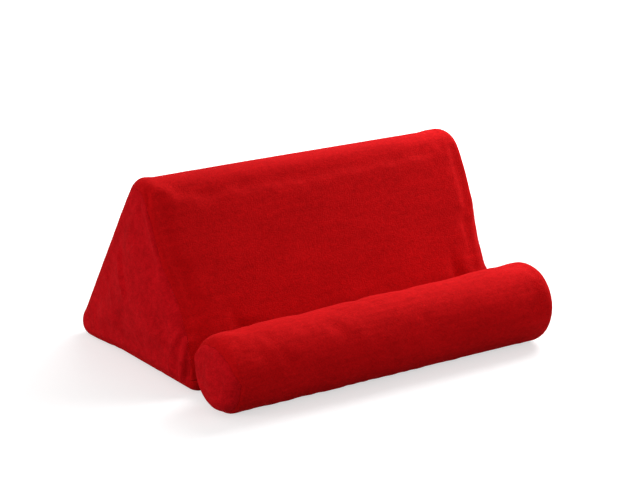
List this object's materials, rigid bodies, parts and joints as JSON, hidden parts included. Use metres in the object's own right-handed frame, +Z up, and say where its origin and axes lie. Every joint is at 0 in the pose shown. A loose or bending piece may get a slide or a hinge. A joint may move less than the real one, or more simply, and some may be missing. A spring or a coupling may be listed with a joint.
{
  "type": "tablet cushion stand",
  "caption": "Soft triangular wedge cushion with a padded roll along its front, for propping a tablet in the groove between them.",
  "frame": {"origin": "centre of the bounding box's bottom, on the surface the stand rests on", "axes": "+X along the roll and the wedge, to the right as a user facing the rest face sees it; -Y to the front, where the roll is; +Z up"},
  "size_m": [0.2568, 0.2078, 0.1255],
  "materials": {
    "red_velour": "short-pile velour",
    "cream_foam": "open-cell foam",
    "white_fibre": "loose fibre filling"
  },
  "bodies": {
    "root": {"wedge_wrap_panel": "red_velour", "wedge_left_end_panel": "red_velour", "wedge_right_end_panel": "red_velour", "roll_wrap_panel": "red_velour", "roll_left_end_disc": "red_velour", "roll_right_end_disc": "red_velour", "joining_strip": "red_velour", "wedge_foam_core": "cream_foam", "roll_filling": "white_fibre"}
  },
  "joints": []
}
